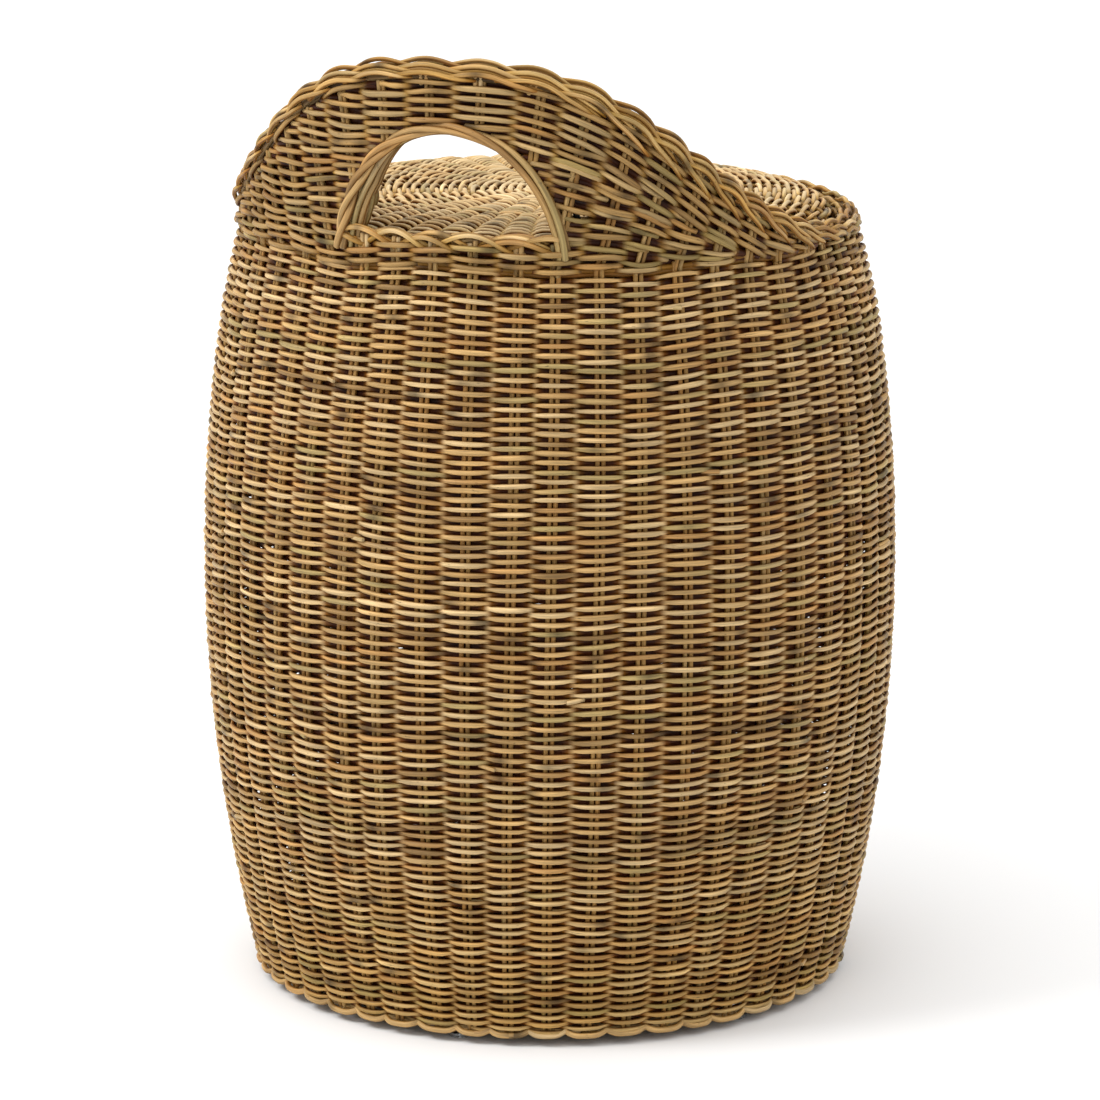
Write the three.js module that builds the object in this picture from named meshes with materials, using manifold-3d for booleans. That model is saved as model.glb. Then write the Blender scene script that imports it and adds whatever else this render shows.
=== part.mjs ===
// A barrel-shaped rattan laundry basket with one raised handle and a lift-off woven lid.
// Millimetres, +Z up. The origin is on the floor at the middle of the base.
// The raised handle is centred on -Y. Angles along the wall are counted from there.
import * as THREE from 'three';
import { mergeVertices } from 'three/addons/utils/BufferGeometryUtils.js';
import Module from 'manifold-3d';

const wasm = await Module();
wasm.setup();

// ---- driving dimensions ----
const GAP = 0.3;                  // between pieces that touch on the real basket
const SEGMENTS = 48;              // facets round every full ring
const HANDLE_STEP = 3;            // degrees between sections of the handle

// barrel wall: its side is one circular arc, widest below the middle
const WIDEST_RADIUS = 250;
const WIDEST_HEIGHT = 295;
const SIDE_CURVE_RADIUS = 1220;
const WALL_THICKNESS = 11;
const WALL_LOW = 9.3;

// rim and raised handle
const RIM_HEIGHT = 560;           // top of the border on the level part of the rim
const BORDER_HEIGHT = 13;
const BORDER_INNER_RADIUS = 204;
const BORDER_OUTER_RADIUS = 226;
const HANDLE_RISE = 127;          // top of the handle above the level rim
const HANDLE_SPREAD = 50.7;       // degrees from its middle to where it has lost 63% of its rise
const HANDLE_FLATNESS = 2.88;     // 2 is a bell curve, higher is flatter on top
const HANDLE_HALF_ANGLE = 78;
const HANDLE_OUTER_RADIUS = 224.5;
const OUTER_SKIN_THICKNESS = 9.8;
const INNER_SKIN_THICKNESS = 5.6;
const FRAME_ROD_RADIUS = 2.2;

// hand-hold: a half ellipse standing on the rim line
const HOLD_HALF_WIDTH = 75;
const HOLD_HEIGHT = 91;
const WRAP_WIDTH = 10;
const SILL_HEIGHT = 26;

// base
const HOOP_RADIUS = 196;
const HOOP_ROD_RADIUS = 9;
const HOOP_HEIGHT = 18.5;
const RAIL_SPACING = 90;
const BASE_RAIL_RADIUS = 6;
const BASE_WEAVE_LOW = 23.5;
const WEAVE_THICKNESS = 8;
const GLIDE_COUNT = 6;
const GLIDE_RADIUS = 10;
const GLIDE_HEIGHT = 3.7;
const GLIDE_CORNER = 1.6;
const NAIL_HEAD_RADIUS = 3.8;
const NAIL_SHANK_RADIUS = 1.1;
const NAIL_TIP = 16;
const NAIL_CLEARANCE = 0.4;

// lid and the ledge that it rests on
const LEDGE_TOP = 540;
const LEDGE_HEIGHT = 12;
const LEDGE_INNER_RADIUS = 190;
const LEDGE_OUTER_RADIUS = 213.5;
const LID_RADIUS = 202;
const LID_TOP = 570;
const LID_EDGE_TOP = 564.5;
const LID_DOME_RADIUS = 150;      // inside this the lid is level
const LID_HOOP_RADIUS = 192;
const LID_ROD_RADIUS = 6;
const LID_RAIL_RADIUS = 6;
const LID_RAIL_SPACING = 80;

// ---- materials ----
const weaveMaterial = (color) => new THREE.MeshStandardMaterial({ color, roughness: 0.62, metalness: 0 });
const wallRattan = weaveMaterial(0xa8834f);
const paleRattan = weaveMaterial(0xc09c63);
const poleRattan = weaveMaterial(0x9a7846);
const clearPlastic = new THREE.MeshStandardMaterial({ color: 0xe8eaea, roughness: 0.15, metalness: 0,
  transparent: true, opacity: 0.4 });
const nailSteel = new THREE.MeshStandardMaterial({ color: 0xb9bbbd, roughness: 0.35, metalness: 1 });

// ---- shared shapes ----
const radians = THREE.MathUtils.degToRad;

// Outer radius of the barrel at a height.
function wallRadius(height) {
  const rise = height - WIDEST_HEIGHT;
  return WIDEST_RADIUS - SIDE_CURVE_RADIUS + Math.sqrt(SIDE_CURVE_RADIUS ** 2 - rise ** 2);
}

// Top of the border at an angle from the middle of the handle, in degrees.
function borderTop(angle) {
  return RIM_HEIGHT + HANDLE_RISE * Math.exp(-((Math.abs(angle) / HANDLE_SPREAD) ** HANDLE_FLATNESS));
}

// A point on a circle round Z, at an angle from the middle of the handle.
function wallPoint(angle, radius, height) {
  const turn = radians(angle);
  return new THREE.Vector3(radius * Math.sin(turn), -radius * Math.cos(turn), height);
}

// A ring or disc round Z from its section, [radius, height] pairs going up its outer side.
function turned(section, segments = SEGMENTS) {
  const points = section.map(([radius, height]) => new THREE.Vector2(radius, height));
  const geometry = new THREE.LatheGeometry(points, segments);
  return geometry.rotateX(Math.PI / 2);
}

// The same, where the section closes on itself away from the axis.
function turnedRing(section, segments = SEGMENTS) {
  return turned([...section, section[0]], segments);
}

// Section of a round rod with one flat side up and one down.
function rodSection(radius, height, rodRadius, sides = 8) {
  const reach = rodRadius / Math.cos(Math.PI / sides);
  return Array.from({ length: sides }, (_, side) => {
    const turn = ((side + 0.5) / sides - 0.5) * 2 * Math.PI;
    return [radius + reach * Math.cos(turn), height + reach * Math.sin(turn)];
  });
}

// A solid through a row of closed outlines with equally many points. A closed row joins up.
function loft(outlines, closed) {
  const count = outlines[0].length;
  const positions = outlines.flat().flatMap((point) => point.toArray());
  const faces = [];
  const spans = closed ? outlines.length : outlines.length - 1;
  for (let row = 0; row < spans; row += 1) {
    const here = row * count;
    const there = ((row + 1) % outlines.length) * count;
    for (let side = 0; side < count; side += 1) {
      const next = (side + 1) % count;
      faces.push(here + side, there + next, there + side, here + side, here + next, there + next);
    }
  }
  if (!closed) {
    const last = (outlines.length - 1) * count;
    for (let side = 1; side < count - 1; side += 1) {
      faces.push(0, side + 1, side, last, last + side, last + side + 1);
    }
  }
  const geometry = new THREE.BufferGeometry();
  geometry.setAttribute('position', new THREE.Float32BufferAttribute(positions, 3));
  geometry.setIndex(faces);
  return geometry;
}

// Angles along the handle, evenly spaced and ending exactly at both ends.
function handleAngles(halfAngle, step = HANDLE_STEP) {
  const count = Math.round((2 * halfAngle) / step);
  return Array.from({ length: count + 1 }, (_, index) => -halfAngle + (2 * halfAngle * index) / count);
}

// A curved slab standing along the wall between two radii. low and high give its heights.
function wallSlab(innerRadius, outerRadius, low, high, halfAngle) {
  const outlines = handleAngles(halfAngle).map((angle) => [
    wallPoint(angle, innerRadius, high(angle)),
    wallPoint(angle, outerRadius, high(angle)),
    wallPoint(angle, outerRadius, low(angle)),
    wallPoint(angle, innerRadius, low(angle)),
  ]);
  return loft(outlines, false);
}

// The solid between the handle side of the axis and far outside it, under a half ellipse.
function holdPrism(halfWidth, height, base) {
  const outline = new THREE.Shape();
  outline.absellipse(0, base, halfWidth, height, 0, Math.PI, false, 0);
  outline.closePath();
  const depth = WIDEST_RADIUS;
  const geometry = new THREE.ExtrudeGeometry(outline, { depth, bevelEnabled: false, curveSegments: 28 });
  return geometry.rotateX(Math.PI / 2);
}

// ---- cutting and joining ----
function toSolid(geometry) {
  const bare = new THREE.BufferGeometry();
  bare.setAttribute('position', geometry.getAttribute('position').clone());
  if (geometry.index) bare.setIndex(geometry.index.clone());
  const merged = mergeVertices(bare, 1e-3);
  const vertProperties = new Float32Array(merged.getAttribute('position').array);
  const triVerts = new Uint32Array(merged.index.array);
  return new wasm.Manifold(new wasm.Mesh({ numProp: 3, vertProperties, triVerts }));
}

function toGeometry(solid) {
  const mesh = solid.getMesh();
  const geometry = new THREE.BufferGeometry();
  geometry.setAttribute('position', new THREE.Float32BufferAttribute(mesh.vertProperties, 3));
  geometry.setIndex([...mesh.triVerts]);
  return geometry;
}

// ---- pieces of the basket ----
function wallWeave() {
  const top = RIM_HEIGHT - BORDER_HEIGHT - GAP;
  const steps = 8;
  const heights = Array.from({ length: steps + 1 }, (_, step) => WALL_LOW + ((top - WALL_LOW) * step) / steps);
  const outside = heights.map((height) => [wallRadius(height), height]);
  const inside = [...heights].reverse().map((height) => [wallRadius(height) - WALL_THICKNESS, height]);
  return turnedRing([...outside, ...inside]);
}

function rimBorder() {
  const corner = 3;
  const outlines = handleAngles(180).slice(0, -1).map((angle) => {
    const top = borderTop(angle);
    const low = top - BORDER_HEIGHT;
    return [
      wallPoint(angle, BORDER_INNER_RADIUS, top - corner),
      wallPoint(angle, BORDER_INNER_RADIUS + corner, top),
      wallPoint(angle, BORDER_OUTER_RADIUS - corner, top),
      wallPoint(angle, BORDER_OUTER_RADIUS, top - corner),
      wallPoint(angle, BORDER_OUTER_RADIUS, low),
      wallPoint(angle, BORDER_INNER_RADIUS, low),
    ];
  });
  return loft(outlines, true);
}

const skinTop = (angle) => borderTop(angle) - BORDER_HEIGHT - GAP;
const rimLine = RIM_HEIGHT - BORDER_HEIGHT;

// One skin of the handle, with the hand-hold and its wrapping cut out of it.
function handleSkin(innerRadius, outerRadius, low) {
  const skin = toSolid(wallSlab(innerRadius, outerRadius, () => low, skinTop, HANDLE_HALF_ANGLE));
  const hole = holdPrism(HOLD_HALF_WIDTH + WRAP_WIDTH + GAP, HOLD_HEIGHT + WRAP_WIDTH + GAP, rimLine);
  return toGeometry(skin.subtract(toSolid(hole)));
}

function handleWeave() {
  return handleSkin(HANDLE_OUTER_RADIUS - OUTER_SKIN_THICKNESS, HANDLE_OUTER_RADIUS, rimLine);
}

function handleLining() {
  return handleSkin(BORDER_INNER_RADIUS, BORDER_INNER_RADIUS + INNER_SKIN_THICKNESS, LEDGE_TOP + GAP);
}

// Radius midway between the two skins, where the rods run.
const betweenSkins = (BORDER_INNER_RADIUS + INNER_SKIN_THICKNESS + HANDLE_OUTER_RADIUS - OUTER_SKIN_THICKNESS) / 2;

// A rod between the two skins, through centre points given by angle and height.
function rodBetweenSkins(route) {
  const sides = 6;
  const centres = route.map(([angle, height]) => wallPoint(angle, betweenSkins, height));
  const outlines = centres.map((centre, index) => {
    const before = centres[Math.max(index - 1, 0)];
    const after = centres[Math.min(index + 1, centres.length - 1)];
    const along = after.clone().sub(before).normalize();
    const outward = new THREE.Vector3(centre.x, centre.y, 0).normalize();
    const across = new THREE.Vector3().crossVectors(along, outward).normalize();
    return Array.from({ length: sides }, (_, side) => {
      const turn = (side / sides) * 2 * Math.PI;
      return centre.clone()
        .addScaledVector(across, FRAME_ROD_RADIUS * Math.cos(turn))
        .addScaledVector(outward, -FRAME_ROD_RADIUS * Math.sin(turn));
    });
  });
  return loft(outlines, false);
}

function handleFrameRod() {
  const reach = HANDLE_HALF_ANGLE - 2 * HANDLE_STEP;
  const clear = 1.6 * FRAME_ROD_RADIUS + GAP; // measured straight down, where the border slopes
  return rodBetweenSkins(handleAngles(reach, 4).map((angle) => [angle, skinTop(angle) - clear]));
}

function handHoldRod() {
  const clear = WRAP_WIDTH + 2 * FRAME_ROD_RADIUS;
  const low = rimLine + FRAME_ROD_RADIUS + GAP;
  const steps = 28;
  const route = Array.from({ length: steps + 1 }, (_, step) => {
    const turn = Math.PI * (1 - step / steps);
    const across = (HOLD_HALF_WIDTH + clear) * Math.cos(turn);
    const angle = THREE.MathUtils.radToDeg(Math.asin(across / betweenSkins));
    return [angle, low + (HOLD_HEIGHT + clear) * Math.sin(turn)];
  });
  return rodBetweenSkins(route);
}

function handHoldWrap() {
  const base = rimLine + GAP;
  const height = HOLD_HEIGHT + WRAP_WIDTH - GAP;
  const outer = toSolid(holdPrism(HOLD_HALF_WIDTH + WRAP_WIDTH, height, base));
  const inner = toSolid(holdPrism(HOLD_HALF_WIDTH, HOLD_HEIGHT - GAP, base));
  const halfAngle = 30;
  const slab = wallSlab(BORDER_INNER_RADIUS, BORDER_OUTER_RADIUS, () => base, () => base + height + 1, halfAngle);
  const legs = toSolid(slab).intersect(outer).subtract(inner);
  return toGeometry(legs);
}

function handHoldSill() {
  const base = rimLine + GAP;
  const halfAngle = 24;
  const slab = wallSlab(BORDER_INNER_RADIUS, BORDER_OUTER_RADIUS, () => base, () => base + SILL_HEIGHT - GAP,
    halfAngle);
  const between = toSolid(holdPrism(HOLD_HALF_WIDTH - GAP, HOLD_HEIGHT - 2 * GAP, base));
  return toGeometry(toSolid(slab).intersect(between));
}

function lidLedge() {
  const low = LEDGE_TOP - LEDGE_HEIGHT;
  const corner = 3;
  return turnedRing([
    [LEDGE_INNER_RADIUS + corner, low], [LEDGE_OUTER_RADIUS - corner, low],
    [LEDGE_OUTER_RADIUS, low + corner], [LEDGE_OUTER_RADIUS, LEDGE_TOP],
    [LEDGE_INNER_RADIUS, LEDGE_TOP], [LEDGE_INNER_RADIUS, low + corner],
  ]);
}

// Places of the glides round the hoop, as [x, y]. One is under the middle of the handle.
const glidePlaces = Array.from({ length: GLIDE_COUNT }, (_, index) => {
  const place = wallPoint((360 / GLIDE_COUNT) * index, HOOP_RADIUS, 0);
  return [place.x, place.y];
});

// The ring with a hole up into it for each nail.
function drilled(geometry, low, high) {
  let solid = toSolid(geometry);
  for (const [x, y] of glidePlaces) {
    const drill = new THREE.CylinderGeometry(NAIL_SHANK_RADIUS + NAIL_CLEARANCE, NAIL_SHANK_RADIUS + NAIL_CLEARANCE,
      high - low, 8);
    drill.rotateX(Math.PI / 2).translate(x, y, (low + high) / 2);
    solid = solid.subtract(toSolid(drill));
  }
  return toGeometry(solid);
}

function footBorder() {
  const low = GLIDE_HEIGHT + GAP;
  const high = WALL_LOW - GAP;
  const inner = HOOP_RADIUS - HOOP_ROD_RADIUS + 2;
  const outer = wallRadius(high) - 2.5;
  const corner = 2.5;
  const ring = turnedRing([[inner, low], [outer - corner, low], [outer, low + corner], [outer, high], [inner, high]]);
  return drilled(ring, low - 1, high + 1);
}

function baseHoop() {
  return drilled(turnedRing(rodSection(HOOP_RADIUS, HOOP_HEIGHT, HOOP_ROD_RADIUS)), 0, NAIL_TIP + 1);
}

// Half the length of a rod along X that ends just short of the hoop round it.
function reachInside(hoopInnerRadius, rodRadius, y) {
  return Math.sqrt(hoopInnerRadius ** 2 - (Math.abs(y) + rodRadius) ** 2) - 2 * GAP;
}

function baseRail(y) {
  const reach = reachInside(HOOP_RADIUS - HOOP_ROD_RADIUS - 1, BASE_RAIL_RADIUS, y);
  const rail = new THREE.CylinderGeometry(BASE_RAIL_RADIUS, BASE_RAIL_RADIUS, 2 * reach, 10);
  return rail.rotateZ(Math.PI / 2).translate(0, y, BASE_WEAVE_LOW - BASE_RAIL_RADIUS - GAP);
}

function baseWeave() {
  const low = BASE_WEAVE_LOW;
  const high = low + WEAVE_THICKNESS;
  const overHoop = HOOP_HEIGHT + HOOP_ROD_RADIUS + GAP;
  const shoulder = HOOP_RADIUS - HOOP_ROD_RADIUS - 3;
  const edge = wallRadius(overHoop) - WALL_THICKNESS - 1.5;
  return turned([[0, low], [shoulder, low], [shoulder + 5, overHoop], [edge, overHoop],
    [edge, overHoop + 5], [shoulder, overHoop + 5], [shoulder - 5, high], [0, high]]);
}

function glide([x, y]) {
  const seat = 1.8;
  const shankHole = NAIL_SHANK_RADIUS + NAIL_CLEARANCE;
  const headHole = NAIL_HEAD_RADIUS + NAIL_CLEARANCE;
  const body = turnedRing([[headHole, 0], [GLIDE_RADIUS - 2, 0], [GLIDE_RADIUS, GLIDE_CORNER],
    [GLIDE_RADIUS, GLIDE_HEIGHT], [shankHole, GLIDE_HEIGHT], [shankHole, seat], [headHole, seat]], 12);
  return body.translate(x, y, 0);
}

function glideNail([x, y]) {
  const head = [NAIL_CLEARANCE, 1.4];
  const nail = turned([[0, head[0]], [NAIL_HEAD_RADIUS, head[0]], [NAIL_HEAD_RADIUS, head[1]],
    [NAIL_SHANK_RADIUS, head[1]], [NAIL_SHANK_RADIUS, NAIL_TIP - 3], [0, NAIL_TIP]], 8);
  return nail.translate(x, y, 0);
}

// ---- pieces of the lid ----
// Height of the top of the lid's weave: level in the middle, rounding down to its edge.
function lidTop(radius) {
  const edge = LID_HOOP_RADIUS - LID_ROD_RADIUS + 4;
  const outward = Math.max(0, (radius - LID_DOME_RADIUS) / (edge - LID_DOME_RADIUS));
  return LID_TOP - (LID_TOP - LID_EDGE_TOP + 3) * outward ** 2;
}

function lidWeave() {
  const edge = LID_HOOP_RADIUS - 2 - GAP;
  const radii = [0, LID_DOME_RADIUS, 165, 180, edge];
  const under = radii.map((radius) => [radius, lidTop(radius) - WEAVE_THICKNESS]);
  const over = [...radii].reverse().map((radius) => [radius, lidTop(radius)]);
  return turned([...under, ...over]);
}

function lidBorder() {
  const inner = LID_HOOP_RADIUS - 2;
  const low = LEDGE_TOP + 2 * LID_ROD_RADIUS + 2 * GAP + 0.2;
  const corner = 3;
  return turnedRing([[inner, low], [LID_RADIUS, low], [LID_RADIUS, LID_EDGE_TOP - corner],
    [LID_RADIUS - corner, LID_EDGE_TOP], [inner, LID_EDGE_TOP]]);
}

function lidHoop() {
  return turnedRing(rodSection(LID_HOOP_RADIUS, LEDGE_TOP + LID_ROD_RADIUS + GAP, LID_ROD_RADIUS));
}

// A rod across the lid hoop, bent to follow the underside of the weave.
function lidRail(y) {
  const reach = reachInside(LID_HOOP_RADIUS - LID_ROD_RADIUS - 1, LID_RAIL_RADIUS, y);
  const steps = 12;
  const route = Array.from({ length: steps + 1 }, (_, step) => {
    const x = reach * ((2 * step) / steps - 1);
    const under = lidTop(Math.hypot(x, Math.abs(y) + LID_RAIL_RADIUS)) - WEAVE_THICKNESS;
    return new THREE.Vector3(x, y, under - 1.1 * LID_RAIL_RADIUS - 2 * GAP);
  });
  const round = new THREE.Shape();
  round.absarc(0, 0, LID_RAIL_RADIUS, 0, 2 * Math.PI, false);
  const extrudePath = new THREE.CatmullRomCurve3(route);
  return new THREE.ExtrudeGeometry(round, { extrudePath, steps: 16, curveSegments: 4 });
}

// ---- assembly ----
const basket = new THREE.Group();

function place(name, geometry, material) {
  const mesh = new THREE.Mesh(geometry, material);
  mesh.name = name;
  basket.add(mesh);
}

place('wall_weave', wallWeave(), wallRattan);
place('foot_border', footBorder(), wallRattan);
place('base_hoop', baseHoop(), poleRattan);
place('base_weave', baseWeave(), wallRattan);
place('lid_ledge', lidLedge(), poleRattan);
place('rim_border', rimBorder(), wallRattan);
place('handle_weave', handleWeave(), wallRattan);
place('handle_lining', handleLining(), wallRattan);
place('handle_frame_rod', handleFrameRod(), poleRattan);
place('hand_hold_rod', handHoldRod(), poleRattan);
place('hand_hold_wrap', handHoldWrap(), wallRattan);
place('hand_hold_sill', handHoldSill(), wallRattan);
[-1, 0, 1].forEach((side, index) => {
  place(`base_rail_${index + 1}`, baseRail(side * RAIL_SPACING), poleRattan);
  place(`lid_rail_${index + 1}`, lidRail(side * LID_RAIL_SPACING), poleRattan);
});
glidePlaces.forEach((spot, index) => {
  place(`glide_${index + 1}`, glide(spot), clearPlastic);
  place(`glide_nail_${index + 1}`, glideNail(spot), nailSteel);
});
place('lid_weave', lidWeave(), paleRattan);
place('lid_border', lidBorder(), paleRattan);
place('lid_hoop', lidHoop(), poleRattan);

export default basket;
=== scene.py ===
import math
import bpy
import numpy as np
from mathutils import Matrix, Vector


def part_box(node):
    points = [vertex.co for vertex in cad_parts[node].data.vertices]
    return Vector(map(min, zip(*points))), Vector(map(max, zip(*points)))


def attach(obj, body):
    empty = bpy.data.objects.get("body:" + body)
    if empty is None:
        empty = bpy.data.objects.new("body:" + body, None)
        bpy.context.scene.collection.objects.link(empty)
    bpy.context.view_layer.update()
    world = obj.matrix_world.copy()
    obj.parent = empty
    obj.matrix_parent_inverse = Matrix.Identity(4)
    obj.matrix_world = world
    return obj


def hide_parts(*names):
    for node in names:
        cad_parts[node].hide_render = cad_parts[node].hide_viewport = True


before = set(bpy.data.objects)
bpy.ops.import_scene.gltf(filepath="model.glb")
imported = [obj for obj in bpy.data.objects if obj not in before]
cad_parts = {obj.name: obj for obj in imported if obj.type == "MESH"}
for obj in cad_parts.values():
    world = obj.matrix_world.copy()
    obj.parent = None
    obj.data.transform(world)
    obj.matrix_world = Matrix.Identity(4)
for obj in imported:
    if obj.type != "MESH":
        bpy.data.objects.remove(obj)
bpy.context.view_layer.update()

# ------------------------ sizes, in metres and radians
STAKES = 49  # an odd number lets one rod weave on for ever
PITCH = 2 * math.pi / STAKES
FIRST_STAKE = math.radians(4.6)  # from the middle of the handle
SIDES = 8  # corners round a rod
RINGS = 7  # rings of a wall rod between two stakes

ROD = 0.00197  # radius of a wall rod
STAKE_ROD = 0.00172
BORDER_ROD = 0.00172
WRAP_ROD = 0.0022

RIM_LINE = 0.547  # top of the wall, foot of the handle
WALL_HALF = 0.0055  # half the thickness of the woven wall
SWING = 0.0033  # how far a wall rod swings in and out
MEAN_RADIUS = 0.235  # of the wall, to turn angles into lengths
WALL_BANDS = 6  # pieces that the wall is cut into
ROW_HEIGHTS = (0.02, 0.16, 0.20, 0.33, 0.37, 0.43, 0.46, 0.54)
ROW_SPACING = (.00308, .00312, .00335, .00338, .00318, .00318, .00335, .00338)
DRAW_IN, DRAW_IN_FROM = 0.0042, 0.480  # how far the level rim leans in, and from what height
LEAN, LEAN_MIDDLE = 0.047, 0.30  # how the stakes lean, and the height where they are upright

LEFT_POST, POST_DIP = -0.345, 0.0032  # angle of the left post, and how far the rows sag under it
HANDLE_REACH = math.radians(76)  # the handle's rows run this far to each side
HANDLE_RISE = 0.127  # of the skins, above the rim line
HANDLE_RADIUS = 0.218
OUTER_MIDDLE, LINING_MIDDLE = 0.2192, 0.2082  # radii of the handle's two skins
HANDLE_ROW = 0.00314
CREST = math.radians(-9)  # left of here the rows are level, right of it they fan
SHOULDER_ROWS = 8  # rows on the right that run along under the border
FAN_REACH, FAN = math.radians(78), 0.36  # the stakes spread to this angle, and by how much
HOLD_LAP = 0.003  # the skins run this far in under the wrapping

BORDER_INNER, BORDER_OUTER = 0.204, 0.226
BORDER_HEIGHT = 0.013
RIM_MIDDLE = (BORDER_INNER + BORDER_OUTER) / 2
RIM_DROP = 0.0072  # middle of the border, below its top
LEVEL_IN, LEVEL_DROP = 0.0028, 0.0010  # how much further in and down it lies away from the handle
WRAP = 0.010  # width of the wrapping of the hand-hold
SILL_ROWS = 0.5622  # the weave goes on up to here between the posts
FOOT_Z = 0.0102  # height of the foot's strands

LID_FLAT = 0.150  # the lid's top is level up to this radius
LID_FALL, LID_FALL_SPAN = 0.0056, 0.040
ROLL_AT, ROLL_SIZE, ROLL_END = 0.188, 0.0112, math.radians(78)
LID_SWING, LID_ROD = 0.0033, 0.00178
BASE_SWING, BASE_ROD = 0.0027, 0.0017
LEDGE_RADII, LEDGE_ROD, LEDGE_MIDDLE = (0.1962, 0.2078), 0.0056, 0.202


def node_points(name):
    return np.array([v.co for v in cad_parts[name].data.vertices])


def polar(theta, radius, z):
    """Points by angle from the middle of the handle, distance from the axis, and height."""
    theta, radius, z = np.broadcast_arrays(theta, radius, z)
    return np.stack([radius * np.sin(theta), -radius * np.cos(theta), z], -1)


def wall_outline():
    """Lowest and highest point of the CAD wall, and its outer radius by height as one curve."""
    points = node_points("wall_weave")
    radius = np.hypot(points[:, 0], points[:, 1])
    heights = np.unique(points[:, 2].round(5))
    outer = np.array([radius[abs(points[:, 2] - h) < 1e-4].max() for h in heights])
    return float(heights[0]), float(heights[-1]), np.polyfit(heights, outer, 4)


def border_outline():
    """Top of the CAD border by angle, in degrees."""
    points = node_points("rim_border")
    angle = np.degrees(np.arctan2(points[:, 0], -points[:, 1])).round(1)
    angles = np.unique(angle)
    tops = np.array([points[abs(angle - a) < 0.05, 2].max() for a in angles])
    return angles, np.maximum(tops, points[:, 2].min() + BORDER_HEIGHT)


WALL_LOW, WALL_TOP, WALL_CURVE = wall_outline()
WALL_SLOPE = np.polyder(WALL_CURVE)
BORDER_ANGLES, BORDER_TOPS = border_outline()
_, wrap_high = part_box("hand_hold_wrap")
HOLD_X = wrap_high.x - WRAP  # half width of the hand-hold
HOLD_Z = wrap_high.z - RIM_LINE - WRAP


def wall_radius(z):
    return np.polyval(WALL_CURVE, np.clip(z, WALL_LOW, RIM_LINE))


def border_top(theta):
    degrees = (np.degrees(theta) + 180) % 360 - 180
    return np.interp(degrees, BORDER_ANGLES, BORDER_TOPS, period=360)


def clamp(t):
    return np.clip(t, 0, 1)


def smooth(t):
    """Eases from 0 to 1."""
    return t * t * (3 - 2 * t)


def unit(v):
    return v / np.maximum(np.linalg.norm(v, axis=-1, keepdims=True), 1e-12)


def knots(rng, count, step, draw):
    """Smooth values along a rod, from one random draw at every step rings."""
    places = max(2, int(math.ceil(count / step)) + 2)
    values = np.asarray(draw(places), float)
    at = np.arange(count) / step + rng.random()
    left = np.clip(at.astype(int), 0, places - 2)
    mix = smooth(clamp(at - left))
    if values.ndim == 2:
        mix = mix[:, None]
    return values[left] * (1 - mix) + values[left + 1] * mix


def drift(rng, count, step, mean, spread):
    """Smooth random values round a mean."""
    return knots(rng, count, step, lambda n: rng.normal(mean, spread, n))


# ------------------------ gathering rods into meshes
WALL_TONES = np.array([
    (0.463, 0.291, 0.116),  # honey
    (0.533, 0.377, 0.190),  # straw
    (0.433, 0.240, 0.083),  # orange brown
    (0.369, 0.269, 0.106),  # olive
    (0.270, 0.158, 0.057),  # brown
])
WALL_SHARES = (0.50, 0.27, 0.09, 0.09, 0.05)
# painted shade: the stakes' tones are made warmer and redder, as the warm shade where they show between the
# rods
STAKE_TONES = WALL_TONES * (1.04, 0.93, 0.70)
STAKE_SHARES = (0.44, 0.16, 0.26, 0.04, 0.10)
# painted shade: the handle skin's tones are made warmer, to offset the whiter light on the handle
SKIN_TONES = WALL_TONES * (1.02, 0.97, 0.84)
WRAP_SHARES = (0.34, 0.10, 0.30, 0.11, 0.15)
LID_TONES = np.array([  # the same five, bleached paler
    (0.589, 0.409, 0.198),
    (0.650, 0.488, 0.272),
    (0.523, 0.333, 0.141),
    (0.469, 0.351, 0.165),
    (0.360, 0.224, 0.097),
])
LID_SHARES = (0.42, 0.32, 0.13, 0.10, 0.03)
CUT_TONE = np.array((0.36, 0.27, 0.15))  # the paler core that a cut end shows
SHADE_DEPTH = np.array((1.0, 1.60, 3.8))  # painted shade turns redder as it darkens
OWN_TONE = 0.45  # share of a rod that keeps its own tone
STAIN_CHANCE = 0.042
GRAIN_RADIUS = 0.0018  # of a rod, in the lengthwise space of its grain
END_REACH, END_SIZE = 0.35, 0.7  # a rod's rounded ends, in its own radii
ENDS = [0, -1]  # its first and last ring


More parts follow.
